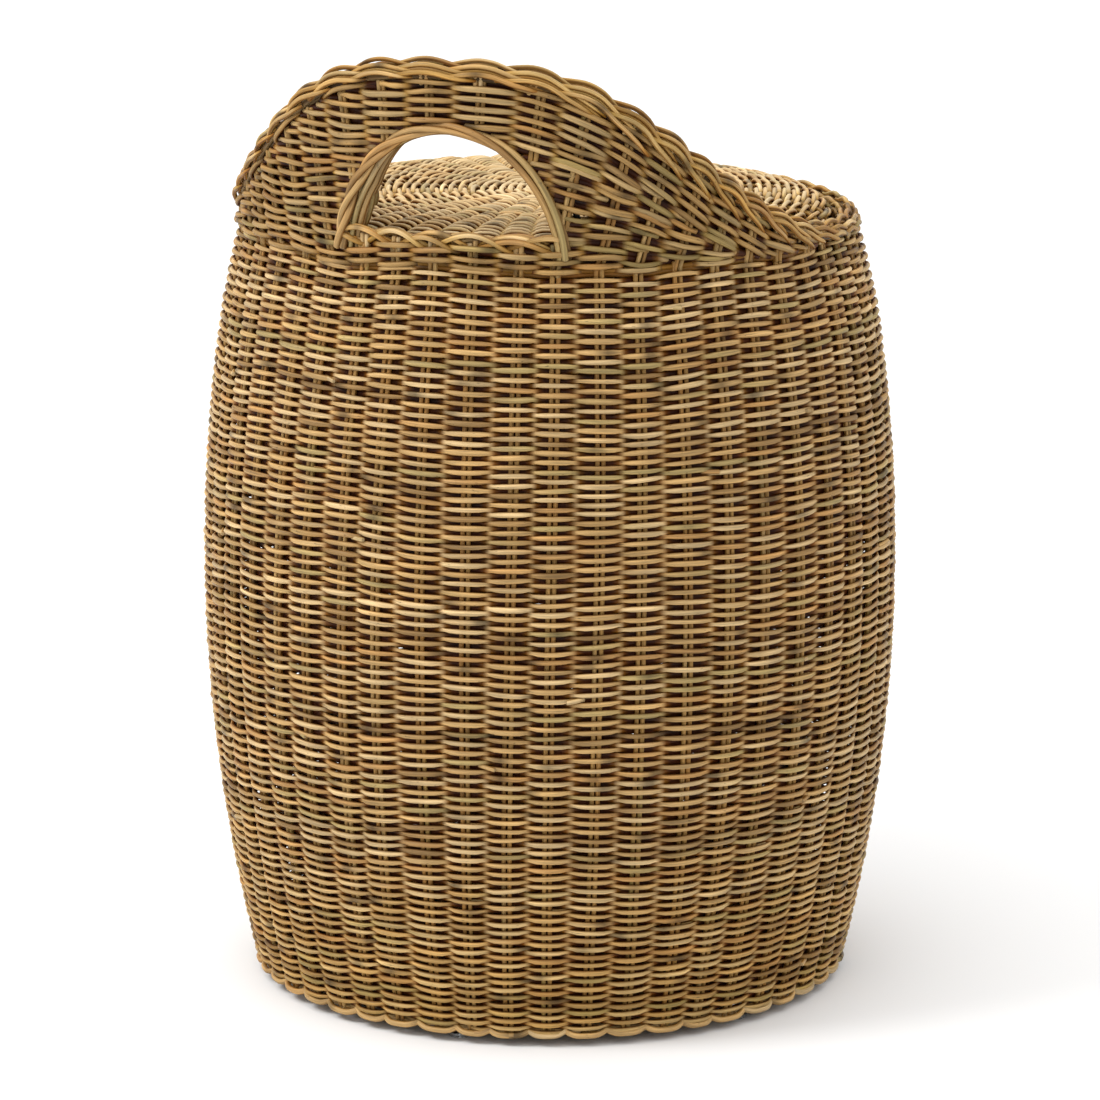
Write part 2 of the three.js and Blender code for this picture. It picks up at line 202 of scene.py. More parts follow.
class Rods:
    """Round rods gathered into one mesh, with their colour and their own lengthwise space."""

    def __init__(self, seed, tones=WALL_TONES, shares=WALL_SHARES, shade=1.0, side_stain=0.66):
        """The side shade is painted shade: how much a rod darkens away from its outer and inner faces."""
        self.rng = np.random.default_rng(seed)
        self.tones, self.shares, self.shade, self.side_stain = tones, shares, shade, side_stain
        self.parts = []

    def colour(self, count, step):
        """The tones along one rod, which drift between kinds, fade and darken, with a few stains."""
        rng = self.rng
        own = rng.choice(len(self.tones), p=self.shares)

        def draw(places):
            other = rng.choice(len(self.tones), places, p=self.shares)
            pick = np.where(rng.random(places) < OWN_TONE, own, other)
            return self.tones[pick]

        def stains(places):
            return np.where(rng.random(places) < STAIN_CHANCE, rng.uniform(0.3, 0.6, places), 1.0)

        base = knots(rng, count, step * 2.2, draw)
        light = drift(rng, count, step * 0.9, 1.0, 0.10)
        stain = knots(rng, count, step * 0.35, stains)
        whole = rng.normal(1.0, 0.06)
        return np.clip(base * (light * stain * whole * self.shade)[:, None], 0.01, 0.95)

    def rod(self, path, out, half, deep=None, step=8, dim=None, dim_in=None):
        """One rod. half is its half width across the weave, deep its half thickness.

        dim and dim_in are painted shade, darkening it along its outer and inner faces. Its tone drifts over
        about step rings."""
        count = len(path)

        def spread(value):
            return np.broadcast_to(np.asarray(value, float), (count,))

        def pad(values):  # one more ring at each end
            return np.concatenate([values[:1], values, values[-1:]])

        half = spread(half)
        deep = half if deep is None else spread(deep)
        along = unit(np.gradient(path, axis=0))
        out = np.broadcast_to(out, path.shape)
        out = unit(out - (out * along).sum(1, keepdims=True) * along)
        side = np.cross(along, out)
        first = path[0] - along[0] * half[0] * END_REACH
        last = path[-1] + along[-1] * half[-1] * END_REACH
        path = np.concatenate([first[None], path, last[None]])
        out, side, half, deep = pad(out), pad(side), pad(half), pad(deep)
        half[ENDS] *= END_SIZE
        deep[ENDS] *= END_SIZE
        turn = np.arange(SIDES) * 2 * math.pi / SIDES
        cos, sin = np.cos(turn)[None, :, None], np.sin(turn)[None, :, None]
        co = (path[:, None] + out[:, None] * cos * deep[:, None, None]
              + side[:, None] * sin * half[:, None, None])
        length = np.concatenate([[0], np.cumsum(np.linalg.norm(np.diff(path, axis=0), axis=1))])
        length = length + self.rng.random() * 7  # so that no two rods share their streaks
        grain = np.empty(co.shape)
        grain[:, :, 0] = length[:, None]
        grain[:, :, 1] = cos[:, :, 0] * GRAIN_RADIUS
        grain[:, :, 2] = sin[:, :, 0] * GRAIN_RADIUS
        colour = pad(self.colour(count, step))
        face = clamp((abs(cos) + 0.45) / 1.3)  # 1 on the outer and inner faces
        # painted shade: the rod darkens on its sides, and by dim and dim_in where it dives or tucks in
        stain = 1 - self.side_stain * (1 - smooth(face))
        if dim is not None:
            dim_in = dim if dim_in is None else dim_in
            outer, inner = (pad(spread(value))[:, None, None] for value in (dim, dim_in))
            turned = clamp(0.5 + 0.75 * cos)
            stain = stain * (outer * turned + inner * (1 - turned))
        tone = colour[:, None] * stain ** SHADE_DEPTH
        tone[ENDS] = tone[ENDS] * 0.5 + CUT_TONE * self.shade * 0.5
        self.parts.append((co.reshape(-1, 3), grain.reshape(-1, 3), tone.reshape(-1, 3), count + 2))

    def make(self, name, body, slot, replaces=()):
        """Joins the rods into one mesh and adds it to the scene."""
        co, grain, tone = (np.concatenate([part[i] for part in self.parts]) for i in range(3))
        quads, caps, base = [], [], 0
        j = np.arange(SIDES)
        for part in self.parts:
            rings = part[3]
            i = np.arange(rings - 1)[:, None] * SIDES + base
            a, b = i + j, i + (j + 1) % SIDES
            quads.append(np.stack([a, b, b + SIDES, a + SIDES], -1).reshape(-1, 4))
            caps.append(base + j[::-1])
            caps.append(base + (rings - 1) * SIDES + j)
            base += rings * SIDES
        quads, caps = np.concatenate(quads), np.array(caps)
        mesh = bpy.data.meshes.new(name)
        mesh.vertices.add(len(co))
        mesh.vertices.foreach_set("co", co.astype(np.float32).ravel())
        loops = np.concatenate([quads.ravel(), caps.ravel()]).astype(np.int32)
        starts = np.concatenate([np.arange(len(quads)) * 4,
                                 len(quads) * 4 + np.arange(len(caps)) * SIDES]).astype(np.int32)
        mesh.loops.add(len(loops))
        mesh.loops.foreach_set("vertex_index", loops)
        mesh.polygons.add(len(starts))
        mesh.polygons.foreach_set("loop_start", starts)
        mesh.update(calc_edges=True)
        rounded = np.ones(len(starts), bool)
        rounded[len(quads):] = False
        mesh.polygons.foreach_set("use_smooth", rounded)
        rgba = np.concatenate([tone, np.ones((len(tone), 1))], 1).astype(np.float32)
        mesh.attributes.new("tone", "FLOAT_COLOR", "POINT").data.foreach_set("color", rgba.ravel())
        mesh.attributes.new("grain", "FLOAT_VECTOR", "POINT").data.foreach_set(
            "vector", grain.astype(np.float32).ravel())
        mesh.materials.append(MATERIALS[slot])
        piece = bpy.data.objects.new(name, mesh)
        bpy.context.scene.collection.objects.link(piece)
        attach(piece, body)
        if replaces:
            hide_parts(*replaces)


# ------------------------ materials
def node(tree, kind, **inputs):
    made = tree.nodes.new(kind)
    for key, value in inputs.items():
        made.inputs[key.replace("_", " ")].default_value = value
    return made


def plain(name, colour, **settings):
    """A material with fixed settings on the shader's own sockets."""
    material = bpy.data.materials.new(name)
    material.use_nodes = True
    shader = material.node_tree.nodes["Principled BSDF"]
    shader.inputs["Base Color"].default_value = (*colour, 1)
    for key, value in settings.items():
        shader.inputs[key.replace("_", " ")].default_value = value
    return material


def rattan(name, roughness, fibre, bump):
    """Rattan: the rod's own colour under streaks that run along it, with dark specks."""
    material = bpy.data.materials.new(name)
    material.use_nodes = True
    tree = material.node_tree
    link = tree.links.new
    shader = tree.nodes["Principled BSDF"]
    tone = tree.nodes.new("ShaderNodeAttribute")
    tone.attribute_name = "tone"
    grain = tree.nodes.new("ShaderNodeAttribute")
    grain.attribute_name = "grain"

    def streaks(scale, detail):
        stretch = tree.nodes.new("ShaderNodeVectorMath")
        stretch.operation = "MULTIPLY"
        stretch.inputs[1].default_value = scale
        link(grain.outputs["Vector"], stretch.inputs[0])
        noise = node(tree, "ShaderNodeTexNoise", Scale=1.0, Detail=detail, Roughness=0.6)
        link(stretch.outputs[0], noise.inputs["Vector"])
        return noise.outputs["Fac"]

    def remap(value, low, high, to_low, to_high):
        made = tree.nodes.new("ShaderNodeMapRange")
        for slot, number in zip(range(1, 5), (low, high, to_low, to_high)):
            made.inputs[slot].default_value = number
        link(value, made.inputs[0])
        return made.outputs[0]

    def times(colour, factor):
        mix = tree.nodes.new("ShaderNodeVectorMath")
        mix.operation = "SCALE"
        link(colour, mix.inputs[0])
        link(factor, mix.inputs["Scale"])
        return mix.outputs[0]

    fine = streaks((70, 2600, 2600), 3)
    broad = streaks((22, 620, 620), 2)
    speck = streaks((260, 900, 900), 1)
    colour = times(tone.outputs["Color"], remap(fine, 0.3, 0.7, 1 - fibre, 1 + fibre * 0.7))
    colour = times(colour, remap(broad, 0.3, 0.72, 1 - fibre * 1.1, 1 + fibre * 0.8))
    colour = times(colour, remap(speck, 0.70, 0.80, 1.0, 0.45))
    link(colour, shader.inputs["Base Color"])
    link(remap(broad, 0.3, 0.7, roughness - 0.08, roughness + 0.1), shader.inputs["Roughness"])
    shader.inputs["Specular IOR Level"].default_value = 0.20
    height = tree.nodes.new("ShaderNodeMath")
    height.operation = "ADD"
    link(fine, height.inputs[0])
    link(broad, height.inputs[1])
    rise = node(tree, "ShaderNodeBump", Strength=bump, Distance=0.0003)
    link(height.outputs[0], rise.inputs["Height"])
    link(rise.outputs[0], shader.inputs["Normal"])
    return material


def bright_steel():
    """Nail steel, with slightly uneven gloss."""
    material = plain("nail_steel", (0.68, 0.68, 0.69), Metallic=1.0)
    tree = material.node_tree
    coord = tree.nodes.new("ShaderNodeTexCoord")
    noise = node(tree, "ShaderNodeTexNoise", Scale=900.0, Detail=3.0)
    gloss = node(tree, "ShaderNodeMapRange", To_Min=0.22, To_Max=0.42)
    tree.links.new(coord.outputs["Object"], noise.inputs["Vector"])
    tree.links.new(noise.outputs["Fac"], gloss.inputs["Value"])
    tree.links.new(gloss.outputs[0], tree.nodes["Principled BSDF"].inputs["Roughness"])
    return material


MATERIALS = {
    "wall_rattan": rattan("wall_rattan", 0.50, 0.30, 0.6),
    "lid_rattan": rattan("lid_rattan", 0.52, 0.24, 0.5),
    "rattan_pole": rattan("rattan_pole", 0.42, 0.16, 0.3),
    "clear_plastic": plain("clear_plastic", (0.93, 0.95, 0.95), Roughness=0.18, IOR=1.46,
                           Transmission_Weight=0.9),
    "nail_steel": bright_steel(),
}


# ------------------------ the weave's shared shape
_shared = np.random.default_rng(4)
LEAN_WAVES = [(m, _shared.uniform(0, 2 * math.pi), _shared.uniform(-9, 9), a)
              for m, a in ((3, .005), (7, .004), (11, .004), (17, .0035), (23, .0035))]
ROW_WAVES = [(m, _shared.uniform(0, 2 * math.pi), n, a)
             for m, n, a in ((2, 9, .0010), (5, -14, .0009), (8, 21, .0007), (13, -17, .0005))]


def waves(theta, z, table):
    """A sum of waves, each with its count round the basket, phase, count by height and size."""
    return sum(a * np.sin(m * theta + n * z + p) for m, p, n, a in table)


def warp(theta, z):
    """How far the stakes lean from even spacing, in radians."""
    return LEAN * (LEAN_MIDDLE - np.asarray(z)) + waves(theta, z, LEAN_WAVES)


def ripple(theta, z):
    """How far the rows wave up and down together, and sag under the left post."""
    turned = (np.asarray(theta) + math.pi) % (2 * math.pi) - math.pi
    dip = np.exp(-((turned - LEFT_POST) / 0.13) ** 2 - ((np.asarray(z) - 0.552) / 0.016) ** 2)
    return waves(theta, z, ROW_WAVES) - POST_DIP * dip


def wave(phase):
    """Runs from 1 outside a stake to -1 inside the next, lingering at both."""
    return np.sin(0.5 * math.pi * np.cos(phase))


def squeeze(w, by=0.26):
    """Rods narrow as they start to dive between two stakes, so their floats end in points."""
    return 1 - by * np.exp(-((np.asarray(w) - 0.35) / 0.38) ** 2)


def recess_shade(w):
    """Painted shade: rods darken where they dive behind a stake."""
    return 0.13 + 0.87 * smooth(clamp((np.asarray(w) + 0.62) / 0.92))


def draw_in(theta, z):
    """How far the wall leans in under the level rim, away from the handle."""
    rise = clamp((np.asarray(z) - DRAW_IN_FROM) / (RIM_LINE - DRAW_IN_FROM)) ** 1.5
    level = 1 - clamp(handle_height(theta) / 0.025)
    return DRAW_IN * rise * smooth(level)


def wall_normal(theta, z):
    lean = np.polyval(WALL_SLOPE, np.clip(z, WALL_LOW, RIM_LINE))
    lean = np.where(np.asarray(z) > RIM_LINE, 0.0, lean)
    return unit(np.stack([np.sin(theta), -np.cos(theta), -lean * np.ones_like(theta)], -1))


# ------------------------ wall
def wall_path(rng):
    """One endless helix woven in and out of the stakes: points, outward directions, swing, heights."""
    heights = np.linspace(WALL_LOW + ROD, WALL_TOP - ROD * 0.6, 400)
    spacing = np.interp(heights, ROW_HEIGHTS, ROW_SPACING)
    arc = np.hypot(np.gradient(heights), np.gradient(heights) * np.polyval(WALL_SLOPE, heights))
    turns = np.concatenate([[0], np.cumsum((arc / spacing)[1:])])
    count = int(turns[-1] * STAKES * RINGS)
    even = np.arange(count) * (PITCH / RINGS) + FIRST_STAKE
    z = np.interp(np.arange(count) / (STAKES * RINGS), turns, heights)
    theta = even - warp(even, z)
    edge = clamp((z - WALL_LOW) / 0.03)  # the first rows keep level with the foot
    z = z + ripple(theta, z) * edge
    lift = drift(rng, count, RINGS * 0.8, 0, 0.00028)
    swing = SWING * drift(rng, count, RINGS, 1.0, 0.07)
    w = wave((even - FIRST_STAKE) / PITCH * math.pi)
    lift = lift - 0.0007 * clamp(-w)  # rods sit a little lower inside a stake
    normal = wall_normal(theta, z)
    middle = polar(theta, wall_radius(z) - WALL_HALF - draw_in(theta, z), z + lift)
    return middle + normal * (w * swing)[:, None], normal, w, z


def wall_rods():
    """The helix cut into rods, which are gathered into bands."""
    rng = np.random.default_rng(11)
    path, normal, w, z = wall_path(rng)
    count = len(path)
    ring_length = MEAN_RADIUS * (PITCH / RINGS)
    cut_at = np.linspace(0, count, WALL_BANDS + 1).astype(int)
    bands = [Rods(100)]
    start = 0
    while start < count - 4:
        # each rod is 1.3 to 3 m long and ends inside the basket, behind a stake
        end = min(start + int(rng.uniform(1.3, 3.0) / ring_length), count)
        end = min(int(round((end / RINGS - 1) / 2) * 2 + 1) * RINGS, count)
        if end - start < 3 * RINGS or count - end < 6 * RINGS:
            end = count
        first = max(0, start - int(RINGS * 0.9))  # it starts further in, beside the last one's end
        overlap = start - first + 3
        span = slice(first, end)
        inward = np.zeros(end - first)
        inward[:overlap] = np.linspace(0.0030, 0, overlap)
        size = ROD * np.clip(rng.normal(0.985, 0.060), 0.85, 1.09)
        size = size * drift(rng, end - first, RINGS * 1.5, 1.0, 0.055)
        size = size * np.interp(z[span], (0.14, 0.20), (0.94, 1.0)) * squeeze(w[span])
        behind = clamp(0.15 - w[span])  # packed close on the inside
        # painted shade: the rods darken towards the bottom, and where they dive behind a stake
        low_shade = np.interp(z[span], (0.02, 0.14), (0.88, 1.0))
        bands[-1].rod(path[span] - normal[span] * inward[:, None], normal[span],
                      size * (1 + 0.66 * behind), size, RINGS,
                      dim=low_shade * recess_shade(w[span]), dim_in=low_shade * recess_shade(-w[span]))
        start = end
        if len(bands) < WALL_BANDS and start >= cut_at[len(bands)]:
            bands.append(Rods(100 + len(bands)))
    return bands


def stub_ends(rods):
    """Cut rod ends that poke out beside a stake here and there."""
    rng = rods.rng
    reach = np.linspace(0, 1, 6)
    for _ in range(46):
        theta = FIRST_STAKE + PITCH * (rng.integers(STAKES) + rng.choice([0.36, 0.64]))
        z = rng.uniform(0.03, 0.53)
        side = 1 if rng.random() < 0.5 else -1
        at = theta + side * reach * 0.011 / 0.24
        radius = wall_radius(z) - WALL_HALF - draw_in(theta, z) + 0.0005 + reach * rng.uniform(0.0035, 0.0050)
        path = polar(at, radius, z + reach * rng.uniform(-0.002, 0.002))
        rods.rod(path, wall_normal(at, z), ROD * rng.uniform(0.75, 0.95))


def in_hold(theta, z):
    """Inside the hand-hold or under its wrapping, in the view square to the handle."""
    x = BORDER_OUTER * 0.97 * np.sin(theta)
    wide, tall = HOLD_X + WRAP - HOLD_LAP, HOLD_Z + WRAP - HOLD_LAP
    over = (x / wide) ** 2 + ((z - RIM_LINE) / tall) ** 2
    return (over < 1) & (np.cos(theta) > 0) & (np.asarray(z) > SILL_ROWS)


def stake_angle(index):
    """Angle of stake number index at the rim line, from -pi to pi."""
    return (FIRST_STAKE + PITCH * index + math.pi) % (2 * math.pi) - math.pi


def stake_rods(rods):
    """Pairs of upright stakes through the wall."""
    rng = rods.rng
    z = np.arange(0.0090, RIM_LINE + 0.004, 0.0095)
    for base in stake_angle(np.arange(STAKES)):
        theta = base - warp(base, z)
        radius = wall_radius(z) - WALL_HALF - draw_in(theta, z)
        for side in (-1, 1):
            gap = knots(rng, len(z), 7, lambda n: rng.uniform(0, 0.0005, n))
            size = STAKE_ROD * drift(rng, len(z), 13, 1, 0.05)
            path = polar(theta + side * (STAKE_ROD * 1.03 + gap) / radius, radius, z)
            rods.rod(path, wall_normal(theta, z), size, size, 3)


# ------------------------ handle
def skin_top(theta):
    return border_top(theta) - BORDER_HEIGHT


def handle_height(theta):
    return np.maximum(skin_top(theta) - RIM_LINE, 0)


def fan_out(base, z):
    """How far a stake has leant away from the middle of the handle, in radians."""
    rise = clamp((np.asarray(z) - RIM_LINE) / HANDLE_RISE)
    return rise * FAN * FAN_REACH / math.pi * np.sin(math.pi * np.clip(base / FAN_REACH, -1, 1))


def fan_back(theta, z):
    """The stake angle at the rim that leans to theta at height z."""
    base = theta
    for _ in range(8):
        base = theta - fan_out(base, z)
    return base


def spread_order(count):
    """Base 3 radical inverse, so that rows drop out evenly and still alternate."""
    order = np.zeros(count)
    for row in range(count):
        base, index = 1 / 3, row + 1
        while index:
            order[row] += base * (index % 3)
            index //= 3
            base /= 3
    return order


def row_field(theta, rows):
    """Height of every handle row at the angles theta. NaN where the row has ended."""
    tall = handle_height(theta)
    full = handle_height(np.zeros(1))[0]
    pitch = full / rows
    slope = np.gradient(border_top(theta), theta) / HANDLE_RADIUS
    slanted = pitch * np.sqrt(1 + slope ** 2)  # spacing by height of rows that follow the border
    slack = 0.0012  # a row ends this far into the border or the wall
    field = np.full((rows, len(theta)), np.nan)

    def fill(row, z, alive):
        field[row] = np.where(alive, z, field[row])

    for side, top_rows in ((theta < CREST, 1), (theta >= CREST, SHOULDER_ROWS)):
        for row in range(top_rows):  # rows that run along under the border
            z = RIM_LINE + tall - (row + 0.5) * slanted
            fill(rows - 1 - row, z, side & (z > RIM_LINE - slack))
        low_rows = rows - top_rows
        wedge = tall - top_rows * slanted  # what is left under them
        if top_rows == 1:  # the left flank: level rows that end under the border
            for row in range(low_rows):
                z = RIM_LINE + (row + 0.5) * pitch
                fill(row, z, side & (z < RIM_LINE + wedge + slack))
        else:  # the right flank: rows that fan and drop out
            order = spread_order(low_rows)
            order[0] = -1
            keep = wedge / (full - top_rows * pitch)
            share = clamp((keep[None] - order[:, None]) / 0.03 + 0.5)
            share[0] = 1
            low = np.cumsum(share, 0) - share / 2
            fan = RIM_LINE + wedge[None] * low / share.sum(0)[None]
            fill(slice(0, low_rows), fan, side[None] & (share > 0.5) & (wedge[None] > 0.0022))
    return field


def handle_skin(rods, middle, swing, size):
    """The rows of one skin of the handle, ending at the wrapping of the hand-hold."""
    rng = rods.rng
    theta = np.arange(-HANDLE_REACH, HANDLE_REACH, PITCH / 8)
    rows = int(round(handle_height(np.zeros(1))[0] / HANDLE_ROW))
    field = row_field(theta, rows)
    kernel = np.ones(5) / 5
    for row in range(rows):
        z = field[row]
        up = (z - RIM_LINE) / np.maximum(handle_height(theta), 0.004)
        left = 0.5 + 0.5 * clamp(-theta / 0.3)  # the rows wave more on the left
        z = z + left * 4 * clamp(up * (1 - up)) * (
            0.0017 * np.sin(9 * theta + 60 * (z - RIM_LINE) + 1.3)
            + 0.0014 * np.sin(17 * theta - 95 * (z - RIM_LINE) + 0.4))
        z = z + ripple(theta, z) * clamp(1 - up * 2)
        gone = np.isnan(z) | in_hold(theta, z)
        runs = np.flatnonzero(np.diff(np.concatenate([[1], gone.astype(int), [1]])))
        for first, last in zip(runs[::2], runs[1::2]):
            count = last - first
            if count < 9:
                continue
            at = theta[first:last]
            height = np.convolve(np.pad(z[first:last], 2, mode="edge"), kernel, "valid")
            height += drift(rng, count, 6, 0, 0.0004)
            stake = (fan_back(at, height) - FIRST_STAKE + warp(at, height)) / PITCH
            w = wave((stake + row) * math.pi)
            # painted shade where a row dives behind a stake
            dim, dim_in = recess_shade(w), recess_shade(-w)
            w = w * drift(rng, count, 8, 1, 0.08)
            ease = np.minimum(np.arange(count), np.arange(count)[::-1]) / 4.0
            w = np.where(ease < 1, w * ease - 0.001 / swing * (1 - ease), w)  # ends tuck in
            thick = size * np.clip(rng.normal(1.05, 0.07), 0.88, 1.2)
            thick = thick * drift(rng, count, 12, 1, 0.05) * squeeze(w, 0.17)
            behind = clamp(-w)
            rods.rod(polar(at, middle + w * swing, height), wall_normal(at, height),
                     thick * (1 + 0.55 * behind), thick, 8, dim=dim, dim_in=dim_in)


def foot_of_handle(rods, middle):
    """Two rods laid between the wall's last row and the handle's first."""
    theta = np.linspace(-HANDLE_REACH * 0.98, HANDLE_REACH * 0.98, 240)
    for rise in (-0.0012, 0.0016):
        z = RIM_LINE + rise + ripple(theta, RIM_LINE)
        # both rods are painted darker, as the shade in the groove between the rows
        rods.rod(polar(theta, middle - 0.0018, z), wall_normal(theta, z), ROD * 1.1, dim=0.5)


def handle_stakes(rods, middle, size):
    """The stakes carried up from the wall through one skin of the handle."""
    rng = rods.rng
    for base in stake_angle(np.arange(STAKES)):
        if abs(base) > HANDLE_REACH:
            continue
        top = RIM_LINE
        for _ in range(12):
            top = float(skin_top(base + fan_out(base, top))) + 0.003
        z = np.arange(RIM_LINE - 0.004, max(top, RIM_LINE + 0.002), 0.004)
        theta = base + fan_out(base, z) - warp(base, z)
        inside = in_hold(theta, z)
        edges = np.flatnonzero(np.diff(np.concatenate([[1], inside.astype(int), [1]])))
        for side in (-1, 1):
            for first, last in zip(edges[::2], edges[1::2]):  # below and above the hand-hold
                if last - first < 4:
                    continue
                part = slice(first, last)
                path = polar(theta[part] + side * size * 1.05 / middle, middle, z[part])
                thick = size * rng.normal(1, 0.05)
                rods.rod(path, wall_normal(theta[part], z[part]), thick, thick, 5)


# ------------------------ borders
# The rows of arcs in the border: how far out and up each lies over a stake, and how far it drops between
RAISED_ROWS = ((0.0006, 0.0080, 0.0044), (0.0064, 0.0044, 0.0038), (0.0092, -0.0004, 0.0034),
               (-0.0060, 0.0042, 0.0036), (-0.0090, -0.0010, 0.0034))
LEVEL_ROWS = ((-0.0004, 0.0058, 0.0030), (0.0050, 0.0022, 0.0026), (0.0070, -0.0022, 0.0026),
              (-0.0052, 0.0020, 0.0026), (-0.0066, -0.0024, 0.0026))
# The rods that fill the border: how far out and up
RIM_CORE = ((-0.0052, -0.0034), (-0.0018, -0.0046), (0.0018, -0.0046), (0.0050, -0.0036), (0.0, -0.0006))
# The arcs of the sill over each stake: distance from the axis, extra height, share of the full rise
SILL_ARCS = ((0.2205, 0.0, 1.0), (0.2184, 0.0015, 0.9), (0.2106, -0.0008, 0.95),
             (0.2075, -0.0022, 0.85), (0.2140, 0.0006, 0.9))
SILL_Z, SILL_RISE = 0.5612, 0.0100
# The straight rods round the hand-hold, and those beside its left post: distance from the axis, offset
WRAP_BUNDLE = ((0.2172, 0.0019), (0.2128, 0.0022), (0.2084, 0.0022), (0.2062, 0.0050),
               (0.2064, 0.0085), (0.2165, 0.0062), (0.2115, 0.0065))
POST_BUNDLE = ((0.2192, -0.0026), (0.2168, -0.0064), (0.2124, -0.0070), (0.2082, -0.0034))


def border_frame(theta, level, level_drop=LEVEL_DROP):
    """Middle of the border, and its outward and upward directions. level is 1 away from the handle."""
    radius = RIM_MIDDLE - level * LEVEL_IN
    centre = polar(theta, radius, border_top(theta) - RIM_DROP - level * level_drop)
    along = unit(polar(theta + 0.02, radius, border_top(theta + 0.02))
                 - polar(theta - 0.02, radius, border_top(theta - 0.02)))
    out = polar(theta, 1.0, 0.0)
    return centre, out, unit(np.cross(out, along))


def stake_top(index):
    """Angle at which stake number index, whole or not, comes up to the border."""
    base = stake_angle(np.asarray(index, float))
    return base + fan_out(base, RIM_LINE + handle_height(base))


def rim_arcs(rods, index, raised, right):
    """The arcs that bend over one stake to the right and tuck in behind the next ones."""
    rng = rods.rng
    s = np.linspace(0, 1, 24)
    for row, (high_row, low_row) in enumerate(zip(RAISED_ROWS, LEVEL_ROWS)):
        outward_by, high, drop = raised * np.array(high_row) + (1 - raised) * np.array(low_row)
        sign = 1 if outward_by > 0 else -1
        for twin in range(2 if row == 1 else 1):
            length = (1.62 + 0.55 * right) * rng.normal(1, 0.05)  # in stakes
            v = -0.70 + length * s + rng.normal(0, 0.05) + 0.12 * twin
            theta = np.unwrap(stake_top(index + v))
            arch = np.cos(math.pi * np.clip(v, -0.75, 0.75) / 1.5) ** 2
            fall = clamp((v - 0.30) / 1.3)
            start = clamp((-v - 0.25) / 0.45)
            tuck = clamp((s - 0.86) / 0.14)
            size = BORDER_ROD * rng.uniform(0.92, 1.10) * (0.88 if twin else 1.0)
            across = outward_by + sign * (0.0014 * fall - 0.0026 * start - 0.0028 * tuck
                                          + rng.uniform(-0.0004, 0.0005) - 0.0011 * twin)
            rise = high - drop * (1 - arch) - (0.0018 + 0.0085 * right) * fall ** 1.2 - 0.0028 * twin
            centre, out, up = border_frame(theta, 1 - raised)
            path = centre + out * across[:, None] + up * rise[:, None]
            slim = 1 - 0.35 * clamp((s - 0.72) / 0.28) - 0.15 * start
            # painted shade where an arc starts and tucks in, and on the lower twin; the random factor is the
            # rod's own tone
            dim = (1 - 0.55 * tuck - 0.40 * start) * (0.94 - 0.12 * twin) * rng.uniform(0.86, 1.06)
            rods.rod(path, unit(out * outward_by * 1.2 + up * 0.006), size * slim, step=9, dim=dim)


def rim_strands(rods):
    """The border: rows of arcs, one set to each stake, with cut stake ends under them and a core."""
    rng = rods.rng
    for index in range(STAKES):
        place = float(stake_top(index))
        raised = min(float(handle_height(place)) / 0.02, 1)
        rim_arcs(rods, index, raised, min(max((place + 0.10) / 0.5, 0), 1) * raised)
        centre, out, up = border_frame(np.full(5, place), 1 - raised, 0)
        climb = np.linspace(-0.0085, 0.0006, 5)[:, None]
        outside = () if raised > 0.5 and place < -0.2 else (0.0056 - 0.0012 * (1 - raised),)
        for side in (-1, 1):
            aside = polar(place + math.pi / 2, side * STAKE_ROD * 1.1, 0.0)
            for out_by in (*outside, -0.0052):
                lean = climb + rng.uniform(-0.0012, 0.0008)
                rods.rod(centre + out * out_by + up * lean + aside, out, STAKE_ROD * 0.96, step=4)
    # the core is painted dark, as the shade inside the border
    core = Rods(40, shade=0.42)
    theta = np.linspace(0, 2 * math.pi, 240) + 0.7
    level = 1 - clamp(handle_height(theta) / 0.02)
    centre, out, up = border_frame(theta, level)
    for across, rise in RIM_CORE:
        core.rod(centre + out * across + up * rise, up, 0.0021, step=20)
    rods.parts += core.parts


def sill_strands(rods):
    """The border between the posts: each stake arches over its neighbour and tucks down."""
    rng = rods.rng
    reach = math.asin((HOLD_X + 0.004) / 0.219)
    s = np.linspace(0, 1, 30)
    for index in range(-4, 5):
        base = FIRST_STAKE + PITCH * index
        base = base - float(warp(base, 0.56))
        for side in (-1, 1):  # stake ends
            z = np.linspace(0.556, 0.5655 + rng.uniform(-0.0020, 0.0012), 5)
            lean = np.full(5, base + side * 0.0018 / HANDLE_RADIUS)
            if abs(base) < reach:
                rods.rod(polar(lean, 0.2186, z), wall_normal(lean, z), STAKE_ROD * 1.15)
        for radius, lift, share in SILL_ARCS:
            width = rng.uniform(1.35, 2.1)  # in stakes
            theta = base + PITCH * (-0.62 * width + width * 1.12 * s + rng.normal(0.05, 0.10))
            peak = SILL_RISE * share * rng.uniform(0.72, 1.12)
            z = SILL_Z + lift + peak * np.sin(math.pi * clamp(s * 1.04)) ** 1.15 - 0.0030 * s
            bow = (0.0022 * np.sin(math.pi * s) - 0.0030 * clamp((s - 0.8) / 0.2)
                   - 0.0024 * (1 - s) ** 3)
            sign = 1 if radius > 0.212 else -1
            keep = abs(theta) < reach
            if keep.sum() > 6:
                # painted shade at both ends, where the arcs tuck down
                rods.rod(polar(theta, radius + sign * bow, z)[keep], wall_normal(theta, z)[keep],
                         ROD * rng.uniform(0.86, 1.02), step=9, dim=(0.55 + 0.45 * np.sin(math.pi * s))[keep])


def hold_path(turn, offset, radius):
    """A point beside the half ellipse of the hand-hold, offset outward along its normal."""
    x, z = HOLD_X * np.cos(turn), HOLD_Z * np.sin(turn)
    nx, nz = np.cos(turn) / HOLD_X, np.sin(turn) / HOLD_Z
    size = np.hypot(nx, nz)
    x, z = x + offset * nx / size, z + offset * nz / size
    theta = np.arcsin(np.clip(x / radius, -0.999, 0.999))
    return polar(theta, radius, RIM_LINE + z)


